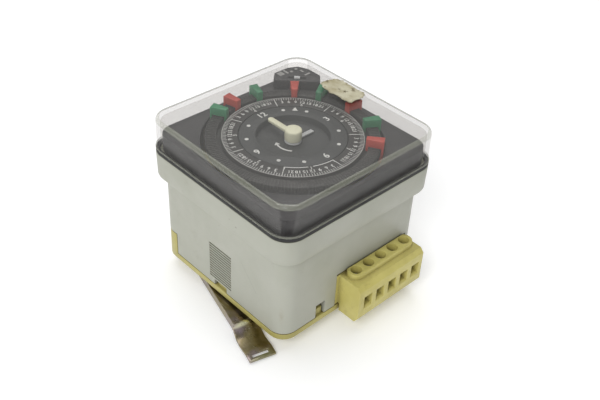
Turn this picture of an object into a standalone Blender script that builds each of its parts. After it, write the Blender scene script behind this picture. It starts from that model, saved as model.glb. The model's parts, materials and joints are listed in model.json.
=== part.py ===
"""Panel-mount programmable timer, 72 x 72 mm front, built as separate pieces.

Frame: origin on the shaft axis at the panel's front surface (the underside of the flange).
+Z points out of the dial, +Y to twelve o'clock, +X to three o'clock. Units are metres.
"""
import math

import bmesh
import bpy
from mathutils import Matrix, Vector

MM = 0.001
GAP = 0.3 * MM                      # clearance between pieces that rest on each other

# Case
FLANGE_HALF = 36.0 * MM
FLANGE_RADIUS = 7.5 * MM
FLANGE_TOP = 10.2 * MM
FLANGE_BORE_HALF = 32.0 * MM
BODY_HALF = 33.1 * MM
BODY_RADIUS = 6.0 * MM
BODY_WALL = 2.0 * MM
BODY_BOTTOM = -33.6 * MM
BASE_TOP = BODY_BOTTOM - GAP
BASE_BOTTOM = -36.2 * MM
BASE_FLOOR = 1.5 * MM
COVER_BOTTOM = 11.4 * MM
COVER_TOP = 23.7 * MM
COVER_TOP_HALF = 35.65 * MM
COVER_WALL = 1.5 * MM

# Dial side
PLATE_HALF = 33.7 * MM
PLATE_TOP = 17.0 * MM
PLATE_THICK = 1.5 * MM
DISC_OPENING = 32.0 * MM            # radius of the round opening in the front plate
DIAL_TOP = 18.5 * MM                # face ring and program disc share this height
FACE_RADIUS = 18.9 * MM
RECESS_RADIUS = 13.0 * MM
RECESS_FLOOR = 15.8 * MM
DISC_INNER = FACE_RADIUS + GAP
DISC_OUTER = 30.4 * MM
GROOVE = (25.0 * MM, 26.5 * MM)
KNOB_RADIUS = 3.05 * MM
KNOB_TOP = 21.0 * MM

# Clock angles of the switching riders, in degrees clockwise from twelve, and their colours
RIDERS = (
    (-23.7, "green"), (-7.5, "red"), (14.6, "green"), (43.6, "red"),
    (63.7, "green"), (92.2, "red"), (118.2, "green"), (144.4, "red"),
)

# Terminal block on the six o'clock side
POLES = 5
POLE_PITCH = 6.2 * MM
POLES_X = 11.0 * MM                 # middle pole
BLOCK_X = 10.55 * MM                # middle of the block
BLOCK_HALF_X = 16.7 * MM
BLOCK_FRONT = -42.7 * MM
BLOCK_TOP = -20.47 * MM
BLOCK_BOTTOM = -36.6 * MM
PILL_TOP = -18.47 * MM
PILL_Y = -35.8 * MM                 # the row of screws
PILL_RADIUS = 3.25 * MM
WELL_RADIUS = 2.1 * MM

# Gear train: tooth counts and the distance between the two shafts of each mesh
MOTOR_XY = (-13.0 * MM, 0.0)
MOTOR_TEETH = (10, 42)              # motor pinion, minute wheel
MOTION_TEETH = ((12, 36), (10, 40)) # minute pinion to intermediate, intermediate to hour wheel
MOTION_DISTANCE = 9.6 * MM
MOTION_ANGLE = math.radians(210)
WEEK_TEETH = ((12, 42), (12, 48))   # hour pinion to week idler, week idler to program disc
WEEK_DISTANCE = 12.0 * MM
WEEK_ANGLE = math.radians(30)
ARBOR_RADIUS = 1.0 * MM
PIPE_RADII = (1.15 * MM, 1.9 * MM)

# Strap under the base
STRAP_PIVOT = (-25.0 * MM, 21.0 * MM)
STRAP_ANGLE = math.radians(-15.3)
STRAP_TOP = -37.5 * MM
STRAP_THICK = 0.8 * MM

# Colour, roughness, metallic
FINISHES = {
    "housing_grey": ((0.52, 0.52, 0.48), 0.45, 0.0),
    "yellow_plastic": ((0.60, 0.55, 0.20), 0.45, 0.0),
    "clear_plastic": ((0.80, 0.82, 0.78), 0.10, 0.0),
    "gasket_black": ((0.02, 0.02, 0.02), 0.70, 0.0),
    "plate_grey": ((0.08, 0.08, 0.075), 0.50, 0.0),
    "disc_black": ((0.04, 0.04, 0.04), 0.50, 0.0),
    "ivory": ((0.78, 0.76, 0.62), 0.35, 0.0),
    "hand_white": ((0.80, 0.80, 0.80), 0.40, 0.0),
    "red": ((0.45, 0.05, 0.03), 0.45, 0.0),
    "green": ((0.03, 0.30, 0.14), 0.45, 0.0),
    "steel": ((0.55, 0.55, 0.55), 0.35, 1.0),
    "brass": ((0.70, 0.52, 0.22), 0.30, 1.0),
    "zinc_yellow": ((0.42, 0.34, 0.14), 0.35, 1.0),
    "copper_wire": ((0.25, 0.05, 0.04), 0.50, 0.0),
    "gear_white": ((0.75, 0.74, 0.70), 0.40, 0.0),
}

for old in list(bpy.data.objects):
    bpy.data.objects.remove(old, do_unlink=True)

PARTS = bpy.data.collections.new("programmable_timer")
CUTTERS = bpy.data.collections.new("cutters")
for group in (PARTS, CUTTERS):
    bpy.context.scene.collection.children.link(group)


# ---------------------------------------------------------------- helpers

def material(name):
    """The Principled material of one finish, made once."""
    made = bpy.data.materials.get(name)
    if made:
        return made
    colour, roughness, metallic = FINISHES[name]
    made = bpy.data.materials.new(name)
    made.use_nodes = True
    shader = made.node_tree.nodes["Principled BSDF"]
    shader.inputs["Base Color"].default_value = (*colour, 1.0)
    shader.inputs["Roughness"].default_value = roughness
    shader.inputs["Metallic"].default_value = metallic
    return made


def place(name, mesh, finish=None, at=(0, 0, 0), turn=0.0):
    """Link a mesh as a part, or as a hidden cutter when it has no finish."""
    obj = bpy.data.objects.new(name, mesh)
    obj.location = at
    obj.rotation_euler.z = turn
    if finish:
        mesh.materials.append(material(finish))
        PARTS.objects.link(obj)
    else:
        obj.hide_render = True
        obj.display_type = "WIRE"
        CUTTERS.objects.link(obj)
    return obj


def finish_mesh(bm, name, smooth_angle=30):
    """Turn a bmesh into a mesh with outward faces and smooth round sides."""
    bmesh.ops.remove_doubles(bm, verts=bm.verts, dist=0.000001)
    bmesh.ops.recalc_face_normals(bm, faces=bm.faces)
    mesh = bpy.data.meshes.new(name)
    bm.to_mesh(mesh)
    bm.free()
    mesh.shade_smooth()
    mesh.set_sharp_from_angle(angle=math.radians(smooth_angle))
    return mesh


def circle(radius, sides, centre=(0, 0)):
    step = 2 * math.pi / sides
    return [(centre[0] + radius * math.cos(i * step), centre[1] + radius * math.sin(i * step))
            for i in range(sides)]


def rounded_square(half, radius, segments=6):
    """Corner arcs of a square outline, counter-clockwise."""
    points = []
    for corner in range(4):
        start = corner * math.pi / 2
        sx, sy = ((1, 1), (-1, 1), (-1, -1), (1, -1))[corner]
        for i in range(segments + 1):
            angle = start + i * math.pi / 2 / segments
            points.append((sx * (half - radius) + radius * math.cos(angle),
                           sy * (half - radius) + radius * math.sin(angle)))
    return points


def slab(name, outlines, low, high, plane="XY"):
    """A flat outline with holes, extruded from low to high across its plane."""
    curve = bpy.data.curves.new(name, "CURVE")
    curve.dimensions = "2D"
    curve.fill_mode = "BOTH"
    curve.extrude = (high - low) / 2
    for outline in outlines:
        spline = curve.splines.new("POLY")
        spline.points.add(len(outline) - 1)
        for point, (a, b) in zip(spline.points, outline):
            point.co = (a, b, 0, 1)
        spline.use_cyclic_u = True
    guide = bpy.data.objects.new(name + "_outline", curve)
    CUTTERS.objects.link(guide)
    bpy.context.view_layer.update()
    solid = bpy.data.meshes.new_from_object(guide.evaluated_get(bpy.context.evaluated_depsgraph_get()))
    bpy.data.objects.remove(guide, do_unlink=True)
    bm = bmesh.new()
    bm.from_mesh(solid)
    middle = (low + high) / 2
    for vert in bm.verts:
        a, b, c = vert.co
        c += middle
        vert.co = {"XY": (a, b, c), "YZ": (c, a, b), "XZ": (a, c, b)}[plane]
    return finish_mesh(bm, name)


def block(name, low, high):
    """A box between two corners."""
    bm = bmesh.new()
    size = Vector(high) - Vector(low)
    centre = (Vector(high) + Vector(low)) / 2
    matrix = Matrix.Translation(centre) @ Matrix.Diagonal((*size, 1))
    bmesh.ops.create_cube(bm, size=1.0, matrix=matrix)
    return finish_mesh(bm, name)


def rod(name, radius, low, high, sides=16, centre=(0, 0)):
    """An upright cylinder."""
    bm = bmesh.new()
    matrix = Matrix.Translation((*centre, (low + high) / 2))
    bmesh.ops.create_cone(bm, cap_ends=True, segments=sides, radius1=radius, radius2=radius,
                          depth=high - low, matrix=matrix)
    return finish_mesh(bm, name)


def merged(name, meshes):
    """Several separate solids in one mesh."""
    bm = bmesh.new()
    for mesh in meshes:
        bm.from_mesh(mesh)
    return finish_mesh(bm, name)


def turned(name, profile, finish=None, sides=32, closed=True, at=(0, 0, 0)):
    """Spin a profile of (radius, height) points, listed outer side downwards, about Z."""
    bm = bmesh.new()
    verts = [bm.verts.new((r, 0, z)) for r, z in profile]
    last = len(verts) if closed else len(verts) - 1
    for i in range(last):
        bm.edges.new((verts[i], verts[(i + 1) % len(verts)]))
    mesh = bpy.data.meshes.new(name)
    bm.to_mesh(mesh)
    bm.free()
    obj = place(name, mesh, finish, at)
    screw = obj.modifiers.new("turn", "SCREW")
    screw.steps = screw.render_steps = sides
    screw.use_merge_vertices = True
    screw.merge_threshold = 0.00001
    screw.use_smooth_shade = True
    return obj


def combine(target, operation, *meshes, at=None, turn=None):
    """Boolean the target with meshes given in the target's own place, or in another."""
    for mesh in meshes:
        tool = place(f"{target.name}_{operation.lower()}_{len(target.modifiers)}", mesh,
                     at=target.location if at is None else at,
                     turn=target.rotation_euler.z if turn is None else turn)
        step = target.modifiers.new(tool.name, "BOOLEAN")
        step.operation = operation
        step.solver = "EXACT"
        step.object = tool
    return target


def gear_outline(teeth, distance, mate, phase):
    """Trapezoid teeth for a gear whose mate is at the given shaft distance."""
    module = 2 * distance / (teeth + mate)
    pitch_radius = module * teeth / 2
    pitch_angle = 2 * math.pi / teeth
    tip, root = pitch_radius + 0.8 * module, pitch_radius - 1.1 * module
    points = []
    for tooth in range(teeth):
        centre = phase + tooth * pitch_angle
        for radius, share in ((root, -0.31), (tip, -0.09), (tip, 0.09), (root, 0.31)):
            angle = centre + share * pitch_angle
            points.append((radius * math.cos(angle), radius * math.sin(angle)))
    return points


def polar(radius, angle):
    return (radius * math.cos(angle), radius * math.sin(angle))


def diagonal(out, along):
    """Point that far out on the +X+Y diagonal and that far along its normal, towards +Y."""
    return ((out - along) / math.sqrt(2), (out + along) / math.sqrt(2))


# ---------------------------------------------------------------- case

def make_housing():
    body = slab("housing_shell", [rounded_square(BODY_HALF, BODY_RADIUS),
                                  rounded_square(BODY_HALF - BODY_WALL, BODY_RADIUS - BODY_WALL)],
                BODY_BOTTOM, 0.5 * MM)
    flange = slab("flange", [rounded_square(FLANGE_HALF, FLANGE_RADIUS),
                             rounded_square(FLANGE_BORE_HALF, 5.0 * MM)], 0, FLANGE_TOP)
    housing = place("housing_shell", body, "housing_grey")
    combine(housing, "UNION", flange)

    outside, inside = -(BODY_HALF + 1 * MM), -(BODY_HALF - BODY_WALL - 1 * MM)
    under = BODY_BOTTOM - 1 * MM
    slots, slot_pitch = 14, 1.14 * MM
    vents = [block("vent", (outside, -6.2 * MM, -30.6 * MM + i * slot_pitch),
                   (inside, 5.7 * MM, -30.05 * MM + i * slot_pitch)) for i in range(slots)]
    combine(housing, "DIFFERENCE", merged("vents", vents))
    side_latch = block("side_latch", (outside, -3.7 * MM, under), (inside, 3.1 * MM, -31.2 * MM))
    front_latch = block("front_latch", (-17.5 * MM, outside, under), (-13.1 * MM, inside, -27.8 * MM))
    terminal_gap = block("terminal_gap", (-8.1 * MM, outside, under), (27.6 * MM, inside, -18.9 * MM))
    corner_gap = block("corner_gap", (outside, 24.9 * MM, under), (-25.4 * MM, 35 * MM, -24.2 * MM))
    combine(housing, "DIFFERENCE", side_latch, front_latch, terminal_gap, corner_gap)


def make_base():
    base = place("base", slab("base", [rounded_square(BODY_HALF, BODY_RADIUS)],
                              BASE_BOTTOM, BASE_TOP), "yellow_plastic")
    pocket = slab("pocket", [rounded_square(29.0 * MM, 3.0 * MM)], BASE_BOTTOM + BASE_FLOOR, 0)
    combine(base, "DIFFERENCE", pocket)
    skirt = slab("skirt", [rounded_square(30.7 * MM, 4.0 * MM), rounded_square(29.2 * MM, 3.0 * MM)],
                 BASE_TOP - 0.5 * MM, -30.5 * MM)
    corner = slab("corner_post", [[(-33.1 * MM, 25.3 * MM), (-33.1 * MM, 27.1 * MM),
                                   *[(-27.1 * MM + 6 * MM * math.cos(math.radians(180 - 15 * i)),
                                      27.1 * MM + 6 * MM * math.sin(math.radians(180 - 15 * i)))
                                     for i in range(1, 7)],
                                   (-25.9 * MM, 33.1 * MM), (-25.9 * MM, 31.1 * MM),
                                   (-28.0 * MM, 29.0 * MM), (-31.1 * MM, 25.3 * MM)]],
                  BASE_TOP - 0.5 * MM, -24.6 * MM)
    combine(base, "UNION", skirt, corner)
    inner = 30.0 * MM
    tongue = 32.0 * MM
    side_tab = block("side_tab", (-tongue, -3.2 * MM, BASE_TOP - 0.5 * MM), (-inner, 2.6 * MM, -33.0 * MM))
    front_tab = block("front_tab", (-17.0 * MM, -tongue, BASE_TOP - 0.5 * MM),
                      (-13.6 * MM, -inner, -31.0 * MM))
    vent_wall = block("vent_wall", (-inner - 0.7 * MM, -7.5 * MM, BASE_TOP - 0.5 * MM),
                      (-inner + 0.5 * MM, 7.0 * MM, -13.5 * MM))
    combine(base, "UNION", side_tab, front_tab, vent_wall)
    block_gap = block("block_gap", (-7.1 * MM, -32.0 * MM, BASE_TOP), (28.2 * MM, -28.0 * MM, 0))
    rivet_hole = rod("rivet_hole", 1.7 * MM, -40 * MM, -30 * MM, centre=STRAP_PIVOT)
    combine(base, "DIFFERENCE", block_gap, rivet_hole)


def make_gasket():
    ring = slab("cover_gasket", [rounded_square(35.9 * MM, 7.4 * MM), rounded_square(34.6 * MM, 6.1 * MM)],
                FLANGE_TOP + GAP, COVER_BOTTOM - GAP)
    place("cover_gasket", ring, "gasket_black")


def make_cover():
    """A tapered cap: stacked outlines skinned into an open surface, then thickened inwards."""
    levels = ((COVER_BOTTOM, FLANGE_HALF, FLANGE_RADIUS),
              (COVER_TOP - 1.2 * MM, COVER_TOP_HALF + 0.1 * MM, FLANGE_RADIUS),
              (COVER_TOP - 0.35 * MM, COVER_TOP_HALF - 0.25 * MM, FLANGE_RADIUS - 0.3 * MM),
              (COVER_TOP, COVER_TOP_HALF - 1.1 * MM, FLANGE_RADIUS - 1.1 * MM))
    bm = bmesh.new()
    previous = None
    for height, half, radius in levels:
        loop = [bm.verts.new((x, y, height)) for x, y in rounded_square(half, radius)]
        edges = [bm.edges.new((loop[i], loop[(i + 1) % len(loop)])) for i in range(len(loop))]
        if previous:
            bmesh.ops.bridge_loops(bm, edges=previous + edges)
        previous = edges
    bmesh.ops.contextual_create(bm, geom=previous)
    cover = place("clear_cover", finish_mesh(bm, "clear_cover"), "clear_plastic")
    shell = cover.modifiers.new("wall", "SOLIDIFY")
    shell.thickness = COVER_WALL
    shell.offset = -1
    shell.use_even_offset = True


# ---------------------------------------------------------------- dial side

def make_front_plate():
    top = slab("front_plate", [rounded_square(PLATE_HALF, 5.9 * MM), circle(DISC_OPENING, 64)],
               PLATE_TOP - PLATE_THICK, PLATE_TOP)
    walls = slab("plate_walls", [rounded_square(PLATE_HALF, 5.9 * MM), rounded_square(32.3 * MM, 4.5 * MM)],
                 FLANGE_TOP + GAP, PLATE_TOP - PLATE_THICK / 2)
    plate = place("front_plate", top, "plate_grey")
    combine(plate, "UNION", walls)


def make_dial_face():
    floor_low = 14.9 * MM
    tube = (2.2 * MM, 3.0 * MM)
    turned("dial_face", [
        (RECESS_RADIUS, DIAL_TOP), (FACE_RADIUS, DIAL_TOP), (FACE_RADIUS, DIAL_TOP - 1.2 * MM),
        (RECESS_RADIUS + 1 * MM, DIAL_TOP - 1.2 * MM), (RECESS_RADIUS + 1 * MM, floor_low),
        (tube[1], floor_low), (tube[1], 11.5 * MM), (tube[0], 11.5 * MM),
        (tube[0], RECESS_FLOOR), (RECESS_RADIUS, RECESS_FLOOR),
    ], "plate_grey", sides=48)


def make_program_disc():
    web = (12.8 * MM, 13.8 * MM)
    bore = 3.3 * MM
    under = 15.6 * MM
    disc = turned("program_disc", [
        (bore, web[1]), (DISC_INNER, web[1]), (DISC_INNER, DIAL_TOP), (GROOVE[0], DIAL_TOP),
        (GROOVE[0], 16.6 * MM), (GROOVE[1], 16.6 * MM), (GROOVE[1], DIAL_TOP),
        (DISC_OUTER, DIAL_TOP), (DISC_OUTER, under), (21.0 * MM, under), (21.0 * MM, web[0]),
        (bore, web[0]),
    ], "disc_black", sides=64)
    (_, _), (pinion, wheel) = WEEK_TEETH
    gear = slab("disc_gear", [gear_outline(wheel, WEEK_DISTANCE, pinion, WEEK_ANGLE + math.pi / wheel),
                              circle(bore, 24)], 11.5 * MM, web[0] + 0.4 * MM)
    combine(disc, "UNION", gear)


def make_riders():
    """Clips that straddle the disc's outer band, one leg in its groove and one over its edge."""
    inner, outer, top = GROOVE[0] + GAP, 31.5 * MM, 21.8 * MM
    narrow, wide = 1.05 * MM, 1.65 * MM # half the clip's width at its inner and outer end
    bridge = DIAL_TOP + GAP
    outline = [(inner, top), (inner, 16.9 * MM), (GROOVE[1] - GAP, 16.9 * MM), (GROOVE[1] - GAP, bridge),
               (DISC_OUTER + GAP, bridge), (DISC_OUTER + GAP, 15.3 * MM), (29.8 * MM, 15.3 * MM),
               (29.8 * MM, 14.4 * MM), (DISC_OUTER, 12.9 * MM), (outer, 12.9 * MM), (outer, top)]
    for number, (clock_angle, colour) in enumerate(RIDERS, start=1):
        name = f"rider_{number}_{colour}"
        mesh = slab(name, [outline], -wide, wide, plane="XZ")
        for vert in mesh.vertices:
            share = (vert.co.x - inner) / (outer - inner)
            vert.co.y *= (narrow + share * (wide - narrow)) / wide
        place(name, mesh, colour, turn=math.radians(90 - clock_angle))


def make_hands():
    hub = (2.05 * MM, 3.0 * MM)
    low, high = RECESS_FLOOR + GAP, RECESS_FLOOR + 0.9 * MM
    bar = [(2.5 * MM, -0.8 * MM), (9.3 * MM, -0.8 * MM), (9.3 * MM, 0.8 * MM), (2.5 * MM, 0.8 * MM)]
    hour = place("hour_hand", slab("hour_hand", [circle(hub[1], 24), circle(hub[0], 24)], low, high),
                 "hand_white")
    combine(hour, "UNION", slab("hour_bar", [bar], low + 0.05 * MM, high - 0.05 * MM))

    knob_low = high + GAP
    minute = turned("minute_hand", [
        (1.15 * MM, knob_low), (1.15 * MM, 20.2 * MM), (0, 20.2 * MM), (0, KNOB_TOP),
        (KNOB_RADIUS - 0.4 * MM, KNOB_TOP), (KNOB_RADIUS, KNOB_TOP - 0.4 * MM), (KNOB_RADIUS, knob_low),
    ], "ivory", sides=32)
    reach, half = 11.5 * MM, 1.1 * MM
    pointer = [(-half, 2.0 * MM), (half, 2.0 * MM)]
    pointer += [(half * math.cos(math.radians(a)), reach + half * math.sin(math.radians(a)))
                for a in range(0, 181, 30)]
    combine(minute, "UNION", slab("pointer", [pointer], 18.4 * MM, 19.5 * MM))


def make_override():
    """Raised corner block with a slot for the manual slider."""
    corner = [(17.3, 29.7), (29.7, 17.3), (33.3, 21.0), (33.3, 27.5), (31.5, 31.5), (27.5, 33.3),
              (21.0, 33.3)]
    outline = [(x * MM, y * MM) for x, y in corner]
    top = 20.8 * MM
    body = place("override_block", slab("override_block", [outline], PLATE_TOP + GAP, top), "plate_grey")
    slot = block("slot", (35.0 * MM, -3.4 * MM, PLATE_TOP), (36.8 * MM, 3.4 * MM, top + 1 * MM))
    combine(body, "DIFFERENCE", slot, at=(0, 0, 0), turn=math.radians(45))
    slider = block("override_slider", (35.3 * MM, -1.1 * MM, PLATE_TOP + 0.6 * MM),
                   (36.5 * MM, 1.1 * MM, top + 0.3 * MM))
    place("override_slider", slider, "hand_white", turn=math.radians(45))


# ---------------------------------------------------------------- terminals

def pole_positions():
    return [POLES_X + (i - (POLES - 1) / 2) * POLE_PITCH for i in range(POLES)]


def make_terminal_block():
    rear = -30.0 * MM
    base_gap = -(BODY_HALF + 0.4 * MM)
    bevel_y, bevel_z = 1.5 * MM, 1.7 * MM
    side = [(BLOCK_FRONT, BLOCK_TOP - bevel_z), (BLOCK_FRONT + bevel_y, BLOCK_TOP), (rear, BLOCK_TOP),
            (rear, BODY_BOTTOM + GAP), (base_gap, BODY_BOTTOM + GAP), (base_gap, BLOCK_BOTTOM),
            (BLOCK_FRONT + bevel_y, BLOCK_BOTTOM), (BLOCK_FRONT, BLOCK_BOTTOM + 2.2 * MM)]
    low_x, high_x = BLOCK_X - BLOCK_HALF_X, BLOCK_X + BLOCK_HALF_X
    body = place("terminal_block", slab("terminal_block", [side], low_x, high_x, plane="YZ"),
                 "yellow_plastic")
    collar = block("collar", (low_x - 1.65 * MM, -32.9 * MM, BODY_BOTTOM + GAP),
                   (high_x, -31.4 * MM, BLOCK_TOP + 0.5 * MM))
    combine(body, "UNION", collar)
    poles = pole_positions()
    rear_clip = 47                  # degrees; the strip's rear is cut straight, clear of the case wall
    arc = [math.radians(-90 + i * (90 + rear_clip) / 8) for i in range(9)]
    pill = [(poles[-1] + PILL_RADIUS * math.cos(a), PILL_Y + PILL_RADIUS * math.sin(a)) for a in arc]
    pill += [(poles[0] - PILL_RADIUS * math.cos(a), PILL_Y + PILL_RADIUS * math.sin(a))
             for a in reversed(arc)]
    combine(body, "UNION", slab("pill", [pill], BLOCK_TOP - 0.5 * MM, PILL_TOP))

    wells = [rod("well", WELL_RADIUS, -23.5 * MM, PILL_TOP + 1 * MM, 16, (x, PILL_Y)) for x in poles]
    shanks = [rod("shank", 1.7 * MM, -24.8 * MM, -23.0 * MM, 12, (x, PILL_Y)) for x in poles]
    room = 2.75 * MM                # half the cavity round each cage
    cavities = [block("cavity", (x - 2.5 * MM, PILL_Y - room, -32.9 * MM),
                      (x + 2.5 * MM, PILL_Y + room, -24.3 * MM)) for x in poles]
    bars = [block("bar_slot", (x - 1.5 * MM, PILL_Y + room - 0.5 * MM, -29.1 * MM),
                  (x + 1.5 * MM, rear + 1 * MM, -27.7 * MM)) for x in poles]
    entry_top, entry_floor, entry_lip = -25.6 * MM, -30.5 * MM, -31.1 * MM
    entry = [(BLOCK_FRONT - 1 * MM, entry_top), (PILL_Y - room + 0.3 * MM, entry_top),
             (PILL_Y - room + 0.3 * MM, entry_floor), (BLOCK_FRONT + 0.8 * MM, entry_floor),
             (BLOCK_FRONT, entry_lip), (BLOCK_FRONT - 1 * MM, entry_lip)]
    entries = [slab("entry", [entry], x - 2.0 * MM, x + 2.0 * MM, plane="YZ") for x in poles]
    for tools in (wells, shanks, cavities, bars, entries):
        combine(body, "DIFFERENCE", merged("tools", tools))


def make_terminals():
    """Captive screws, the cages they raise and the bars the wires are clamped to."""
    for number, x in enumerate(pole_positions(), start=1):
        screw = turned(f"terminal_screw_{number}", [
            (0, -21.7 * MM), (1.8 * MM, -21.7 * MM), (1.8 * MM, -23.2 * MM), (1.5 * MM, -23.2 * MM),
            (1.5 * MM, -27.7 * MM), (0, -27.7 * MM),
        ], "steel", sides=16, closed=False, at=(x, PILL_Y, 0))
        combine(screw, "DIFFERENCE", block("drive_slot", (-2 * MM, -0.3 * MM, -22.4 * MM),
                                           (2 * MM, 0.3 * MM, -21 * MM)))
        frame = [[(-half * MM, low * MM), (half * MM, low * MM), (half * MM, high * MM), (-half * MM, high * MM)]
                 for half, low, high in ((2.1, -32.5, -26.1), (1.5, -31.7, -27.3))]
        cage = place(f"terminal_cage_{number}", slab("cage", frame, -2.4 * MM, 2.4 * MM, plane="XZ"),
                     "steel", at=(x, PILL_Y, 0))
        combine(cage, "DIFFERENCE", rod("cage_thread", 1.75 * MM - 0.05 * MM, -28 * MM, -25 * MM, 16))
        front = PILL_Y - 2.3 * MM
        strip = [(front, -28.8 * MM), (-27.6 * MM, -28.8 * MM), (-27.6 * MM, -23.0 * MM),
                 (-28.4 * MM, -23.0 * MM), (-28.4 * MM, -28.0 * MM), (front, -28.0 * MM)]
        place(f"contact_bar_{number}", slab("contact_bar", [strip], x - 1.1 * MM, x + 1.1 * MM, plane="YZ"),
              "brass")


# ---------------------------------------------------------------- movement

def make_movement_frame():
    cut = 17.0 * MM                 # the corner left free for the switch
    half = 29.6 * MM
    outline = [(-half, -half), (half, -half), (half, half - cut), (half - cut, half), (-half, half)]
    stud = polar(MOTION_DISTANCE, MOTION_ANGLE)
    idler = polar(WEEK_DISTANCE, WEEK_ANGLE)
    front = place("movement_front_plate", slab("movement_front_plate", [
        outline, circle(1.2 * MM, 16), circle(1.0 * MM, 12, idler),
    ], 5.4 * MM, 6.8 * MM), "brass")
    back = 26.0 * MM
    place("movement_back_plate", slab("movement_back_plate", [
        [(-back, -back), (back, -back), (back, back), (-back, back)],
        circle(1.15 * MM, 16), circle(3.3 * MM, 24, MOTOR_XY),
    ], -3.0 * MM, -1.6 * MM), "brass")
    corner = 22.0 * MM
    pillars = [rod("pillar", 2.0 * MM, -1.3 * MM, 6.0 * MM, 16, (sx * corner, sy * corner))
               for sx, sy in ((1, 0.2), (-1, 1), (-1, -1), (1, -1))]
    gear_stud = rod("gear_stud", 0.6 * MM, 6.0 * MM, 9.2 * MM, 12, stud)
    combine(front, "UNION", merged("pillars", pillars), gear_stud)
    bridge = place("dial_bridge", slab("dial_bridge", [
        circle(26.5 * MM, 48), circle(2.1 * MM, 20), circle(1.1 * MM, 16, idler),
    ], 10.4 * MM, 11.2 * MM), "brass")
    posts = [rod("post", 1.6 * MM, 7.1 * MM, 10.8 * MM, 16, polar(24.0 * MM, math.radians(a)))
             for a in (90, 210, 330)]
    combine(bridge, "UNION", merged("posts", posts))


def make_motor():
    turned("motor_can", [
        (0, -3.3 * MM), (13.6 * MM, -3.3 * MM), (15.0 * MM, -4.7 * MM), (15.0 * MM, -15.3 * MM),
        (13.6 * MM, -16.7 * MM), (0, -16.7 * MM),
    ], "steel", sides=32, closed=False, at=(*MOTOR_XY, 0))
    pinion_teeth, wheel_teeth = MOTOR_TEETH
    distance = -MOTOR_XY[0]
    pinion = place("motor_pinion", slab("motor_pinion", [
        gear_outline(pinion_teeth, distance, wheel_teeth, 0)], 0.8 * MM, 2.2 * MM),
        "brass", at=(*MOTOR_XY, 0))
    combine(pinion, "UNION", rod("motor_shaft", 0.75 * MM, -3.0 * MM, 2.0 * MM, 12))
    place("minute_wheel", slab("minute_wheel", [
        gear_outline(wheel_teeth, distance, pinion_teeth, math.pi + math.pi / wheel_teeth),
        circle(1.2 * MM, 16)], 1.0 * MM, 2.0 * MM), "gear_white")
    turned("clutch_spring", [
        (1.2 * MM, 3.3 * MM), (2.2 * MM, 3.3 * MM), (5.0 * MM, 2.6 * MM), (5.0 * MM, 2.3 * MM),
        (2.2 * MM, 3.0 * MM), (1.2 * MM, 3.0 * MM),
    ], "steel", sides=20)


def make_gear_train():
    (minute_pinion, intermediate_wheel), (intermediate_pinion, hour_teeth) = MOTION_TEETH
    (hour_pinion, idler_wheel), (idler_pinion, disc_teeth) = WEEK_TEETH
    layer_a, layer_b, layer_c, layer_d = (7.1 * MM, 7.9 * MM), (8.2 * MM, 9.0 * MM), (9.3 * MM, 10.1 * MM), \
        (11.5 * MM, 12.5 * MM)

    arbor = place("minute_arbor", rod("minute_arbor", ARBOR_RADIUS, -2.8 * MM, 19.9 * MM, 16), "steel")
    combine(arbor, "UNION", slab("minute_pinion", [
        gear_outline(minute_pinion, MOTION_DISTANCE, intermediate_wheel, MOTION_ANGLE)], *layer_a))

    stud = polar(MOTION_DISTANCE, MOTION_ANGLE)
    towards_centre = MOTION_ANGLE + math.pi
    bore = circle(0.75 * MM, 12)
    intermediate = place("intermediate_gear", slab("intermediate_gear", [
        gear_outline(intermediate_wheel, MOTION_DISTANCE, minute_pinion,
                     towards_centre + math.pi / intermediate_wheel), bore], *layer_a),
        "gear_white", at=(*stud, 0))
    combine(intermediate, "UNION", slab("intermediate_pinion", [
        gear_outline(intermediate_pinion, MOTION_DISTANCE, hour_teeth, towards_centre), bore],
        layer_a[1] - 0.2 * MM, layer_b[1]))

    pipe_bore = circle(PIPE_RADII[0], 16)
    hour = place("hour_wheel", slab("hour_wheel", [circle(PIPE_RADII[1], 20), pipe_bore],
                                    layer_b[0], 16.7 * MM), "gear_white")
    combine(hour, "UNION",
            slab("hour_teeth", [gear_outline(hour_teeth, MOTION_DISTANCE, intermediate_pinion,
                                             MOTION_ANGLE + math.pi / hour_teeth), circle(1.5 * MM, 16)],
                 *layer_b),
            slab("hour_pinion", [gear_outline(hour_pinion, WEEK_DISTANCE, idler_wheel, WEEK_ANGLE),
                                 circle(1.5 * MM, 16)], *layer_c))

    idler_at = polar(WEEK_DISTANCE, WEEK_ANGLE)
    back_angle = WEEK_ANGLE + math.pi
    idler = place("week_idler", rod("week_idler", 0.8 * MM, 5.5 * MM, 12.3 * MM, 12), "gear_white",
                  at=(*idler_at, 0))
    combine(idler, "UNION",
            slab("idler_wheel", [gear_outline(idler_wheel, WEEK_DISTANCE, hour_pinion,
                                              back_angle + math.pi / idler_wheel)], *layer_c),
            slab("idler_pinion", [gear_outline(idler_pinion, WEEK_DISTANCE, disc_teeth, back_angle)],
                 *layer_d))


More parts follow.
